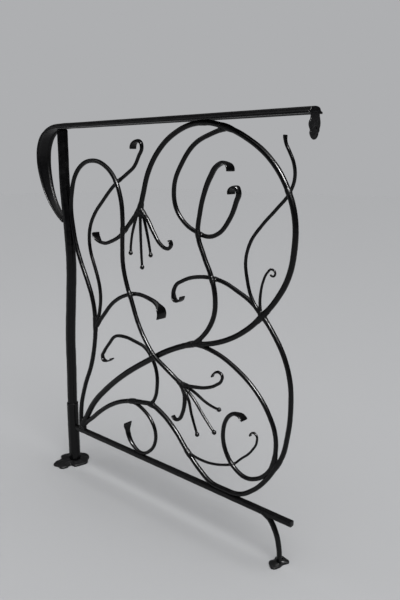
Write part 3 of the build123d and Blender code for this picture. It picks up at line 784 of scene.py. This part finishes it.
# %% [markdown]
# ## Beaten plates
# The plate under the post, the foot and the wall bracket are leaves: cut roughly, then beaten so that their
# rims are thin and their lobes ripple. A flat extruded outline would look stamped. So the rim's loop of edges
# is extruded inwards in rings, each lifted a little by its distance from the rim, and furrows are pressed in
# from the notches.

# %% Making a beaten leaf plate
INSIDE_RIM = 0.97  # where the rounded rim meets the faces, as a share of the leaf's reach
# Up the rim: shares of the reach and of the rim's height.
RIM_RINGS = ((INSIDE_RIM, 0), (0.995, 0.12), (1.0, 0.45), (0.995, 0.85), (INSIDE_RIM, 1.0))


def leaf_plate(bm, outline, middle, thickness, rim, furrow, rings=11):
    """A leaf lying in local x and y, flat beneath. Furrows run from its notches to its middle. In mm."""
    edge_line = dense_line([Vector((x, y, 0)) for x, y in outline], closed=True, spacing=1.6)
    middle = Vector((*middle, 0))
    reaches = [(p - middle).length for p in edge_line]
    lobe = [(r - min(reaches)) / (max(reaches) - min(reaches)) for r in reaches]

    def ring(share, height):
        """The outline drawn in to a share of its size, at a height."""
        outline = [((p - middle) * share + middle).to_2d()[:] for p in edge_line]
        return Matrix.Translation((0, 0, height)), outline

    stations = [ring(share, rim * height) for share, height in RIM_RINGS]
    for i in range(1, rings + 1):
        share = INSIDE_RIM * (1 - i / (rings + 1))
        stations.append(ring(share, rim + (thickness - rim) * ease((1 - share) * 1.5)))
    draw_out(bm, stations)
    towards_edge = [(p - middle).to_2d().normalized() for p in edge_line]
    for v in (v for v in bm.verts if v.co.z > rim * 0.99):
        offset = v.co.xy - middle.xy
        towards = offset.normalized() if offset.length else offset
        nearest = min(range(len(edge_line)), key=lambda i: (towards_edge[i] - towards).length)
        share = offset.length / reaches[nearest]
        v.co.z -= furrow * (1 - lobe[nearest]) * max(0.0, 4 * share * (1 - share))


def place_plate(bm, matrix):
    """Bring a plate made in millimetres to its place in metres."""
    bmesh.ops.scale(bm, vec=(MM, MM, MM), verts=bm.verts)
    bmesh.ops.transform(bm, matrix=matrix, verts=bm.verts)


def lay_flat(bm):
    """Press a hammered plate's underside back onto the floor."""
    for v in bm.verts:
        v.co.z = max(v.co.z, 0.0)


HOLE, DRILL_LENGTH = 6.0, 20.0


def drill(piece, centre, axis):
    """Drill a screw hole through a piece with an exact boolean cut, and keep the result as its mesh."""
    bm = bmesh.new()
    turned = Vector(axis).to_track_quat("Z", "Y").to_matrix().to_4x4()
    place = Matrix.Translation(Vector(centre) * MM) @ turned
    radius = HOLE * MM / 2
    bmesh.ops.create_cone(bm, cap_ends=True, segments=40, radius1=radius, radius2=radius,
                          depth=DRILL_LENGTH * MM, matrix=place)
    mesh = bpy.data.meshes.new("drill")
    bm.to_mesh(mesh)
    bm.free()
    tool = add_object("drill", mesh)
    cut = piece.modifiers.new("drill", "BOOLEAN")
    cut.object, cut.operation, cut.solver = tool, "DIFFERENCE", "EXACT"
    graph = bpy.context.evaluated_depsgraph_get()
    drilled = bpy.data.meshes.new_from_object(piece.evaluated_get(graph))
    piece.modifiers.clear()
    piece.data = drilled
    bpy.data.objects.remove(tool)


# %% Base plate
BASE_OUTLINE = [
    (-49, -10), (-43, 12), (-26, 35), (-8, 44), (12, 40), (24, 27), (39, 10), (36, -10),
    (30, -24), (17, -27), (20, -42), (13, -57), (-2, -56), (-16, -60), (-29, -44), (-31, -27),
]
bm = bmesh.new()
leaf_plate(bm, BASE_OUTLINE, middle=(0, -4), thickness=8.0, rim=5.8, furrow=2.2)
place_plate(bm, Matrix.Identity(4))
hammer(bm, 0.5 * MM, 12 * MM)
lay_flat(bm)
make_piece("post_base_plate", bm, "hammered_plate", ["post_base_plate"])

# %% Foot plate
FOOT_OUTLINE = [
    (-19, -7), (-12, -18), (1, -24), (8, -13), (9, 2), (13, 19), (4, 22), (-11, 23), (-17, 12), (-15, 3),
]
bm = bmesh.new()
leaf_plate(bm, FOOT_OUTLINE, middle=(-3, 1), thickness=7.0, rim=4.4, furrow=1.4)
place_plate(bm, Matrix.Translation((LEG_FOOT * MM, 0, 0)))
hammer(bm, 0.45 * MM, 9 * MM)
lay_flat(bm)
foot = make_piece("foot_plate", bm, "hammered_plate", ["foot_plate"])
drill(foot, (LEG_FOOT - 2, LEG_BAR + HOLE / 2, 3.5), UP)

# %% Wall bracket
BRACKET_OUTLINE = [
    (14, 0), (15.5, -6), (18, -15), (17.5, -21), (15.6, -26.5), (15.5, -29.5), (12.8, -33), (11.2, -38),
    (6.5, -42.8), (-2, -44.8), (-8, -42), (-12, -38), (-14, -33), (-12.8, -29), (-14.4, -25.5),
    (-17.4, -19.5), (-16, -13.5), (-12.4, -9), (-11.8, -3), (-11, 1), (0, 3), (11, 2),
]
BRACKET_THICKNESS = 4.5
bracket_front = PANEL_LENGTH - BRACKET_THICKNESS
bm = bmesh.new()
leaf_plate(bm, BRACKET_OUTLINE, middle=(0, -19), thickness=BRACKET_THICKNESS, rim=3.2, furrow=0.8, rings=14)
stood_up = Matrix(((0, 0, 1), (1, 0, 0), (0, 1, 0))).to_4x4()
place_plate(bm, Matrix.Translation((bracket_front * MM, 0, RAIL_UNDERSIDE * MM)) @ stood_up)
hammer(bm, 0.35 * MM, 7 * MM)
bracket = make_piece("wall_bracket", bm, "hammered_plate", ["wall_bracket"])
drill(bracket, (PANEL_LENGTH - BRACKET_THICKNESS / 2, 3, RAIL_UNDERSIDE - 25), (1, 0, 0))
print("plates: base, foot and bracket, with", HOLE, "mm holes in the last two")

# %% [markdown]
# ## Welds
# Where bars meet, weld metal has run into the corners and been ground roughly smooth. A ball at each joint
# would look stuck on. Instead short lengths of the very bars that meet are swollen a little at the joint,
# fused by a voxel remesh, and smoothed, which rounds the inner corners just as weld metal fills them.

# %% Making a weld
VOXEL = 0.9 * MM
WELD_STEP = 1.2 * MM
EDGE_SHARE = 0.82  # at a weld's edge its stretches are thinner than the bars, and so end inside them


def weld(name, centre, reach, bar_names, swell=1.16, lump=0.0, stands_for=(), blocks=()):
    """Fuse the stretches of the named bars that lie within reach of the centre. Centre and sizes in mm."""
    centre = Vector((centre[0], (*centre, 0.0)[2], centre[1])) * MM
    reach = reach * MM
    bm = bmesh.new()

    def grow(place):
        off = min((place - centre).length / reach, 1.0)
        return swell - (swell - EDGE_SHARE) * off * off

    for bar_name in bar_names:
        bar = BARS[bar_name]
        distances = [i * WELD_STEP for i in range(int(bar.route.length / WELD_STEP))]
        steps = [distance for distance in distances if (bar.route.place(distance) - centre).length < reach]
        if len(steps) > 3:
            draw_out(bm, bar.stations(steps, grow))
    if lump:
        middle = Matrix.Translation(centre)
        bmesh.ops.create_icosphere(bm, subdivisions=3, radius=lump * MM / 2, matrix=middle)
    for low, high in blocks:
        low, high = Vector(low) * MM, Vector(high) * MM
        fit = Matrix.Translation((low + high) / 2) @ Matrix.Diagonal((*(high - low), 1))
        bmesh.ops.create_cube(bm, size=1, matrix=fit)
    bmesh.ops.recalc_face_normals(bm, faces=bm.faces)
    mesh = bpy.data.meshes.new(name)
    bm.to_mesh(mesh)
    bm.free()
    rough = add_object(name + "_rough", mesh)
    fuse = rough.modifiers.new("fuse", "REMESH")
    fuse.mode, fuse.voxel_size = "VOXEL", VOXEL
    flow = rough.modifiers.new("flow", "SMOOTH")
    flow.factor, flow.iterations = 0.5, 9
    graph = bpy.context.evaluated_depsgraph_get()
    bm = bmesh.new()
    bm.from_object(rough, graph)
    bpy.data.objects.remove(rough)
    hammer(bm, 0.25 * MM, 4 * MM)
    return make_piece(name, bm, "weld", stands_for, smooth=0)


# %% The welds that are pieces of their own
weld("branch_weld", (459, 430), 36, ["main_stem", "main_loop", "right_spiral", "upright_leaf"], lump=14,
     stands_for=["branch_weld"])
weld("right_weld", (638, 525), 32, ["main_loop", "lower_curve", "node_leaf", "long_tendril", "short_tendril"],
     lump=13, stands_for=["right_weld"])
weld("left_weld", (118, 416), 30, ["left_loop", "arching_leaf", "left_tendril"], lump=11,
     stands_for=["left_weld"])
weld("root_weld", (44, 120), 38, ["main_stem", "left_loop", "lower_curve"], swell=1.15,
     stands_for=["root_weld"], blocks=[((30, -5, 108), (54, 5, 118))])
for lily, vine, centre in (("upper_lily", "main_loop", (291, 713)), ("lower_lily", "left_loop", (423, 325))):
    members = [f"{lily}_{part}" for part in (
        "left_petal", "right_petal", "left_stamen", "middle_stamen", "right_stamen")]
    collar = f"{lily}_collar"
    weld(collar, centre, 24, [vine, *members], swell=1.35, lump=18, stands_for=[collar])

# %% The dabs of weld where bars touch or cross
DABS = {
    # The centre, the reach and the bars that meet.
    "weld_spiral_to_loop": ((545, 885), 26, ["main_loop", "upper_spiral"]),
    "weld_runner_to_curve": ((250, 242), 20, ["lower_curve", "lower_left_spiral"]),
    "weld_cross_to_curve": ((319, 254), 16, ["lower_curve", "cross_tendril"]),
    "weld_low_to_curve": ((440, 167), 16, ["lower_curve", "low_tendril"]),
    "weld_spiral_to_curve": ((678, 226), 26, ["lower_curve", "right_spiral"]),
    "weld_loop_over_stem": ((328, 383, -5.5), 15, ["left_loop", "main_stem"]),
    "weld_loop_over_tendril": ((224, 778, -4.6), 13, ["left_loop", "left_tendril"]),
    "weld_loop_over_petal": ((238, 664, -4.6), 13, ["left_loop", "upper_lily_left_petal"]),
    "weld_loop_over_arch": ((258, 514, -4.6), 13, ["left_loop", "arching_leaf"]),
    "weld_leaf_over_spiral": ((469, 672, 4.6), 13, ["upright_leaf", "upper_spiral"]),
    "weld_leaf_over_node": ((510, 578, 4.6), 13, ["upright_leaf", "node_leaf"]),
    "weld_loop_over_long": ((692, 764, 4.3), 12, ["main_loop", "long_tendril"]),
    "weld_spiral_over_low": ((566, 181, 3.6), 11, ["right_spiral", "low_tendril"]),
    "weld_stem_over_cross": ((308, 367, 5.2), 12, ["main_stem", "cross_tendril"]),
}
for name, (centre, reach, bar_names) in DABS.items():
    weld(name, centre, reach, bar_names, swell=1.2)
weld("weld_loop_to_rail", (485, 897), 22, ["main_loop"], swell=1.1,
     blocks=[((474, -5, 896), (497, 5, 903.5))])
weld("weld_leg_to_rail", (656, 104), 22, ["leg"], swell=1.3, blocks=[((644, -5, 98), (668, 5, 104))])
print("small welds:", len(DABS) + 2)
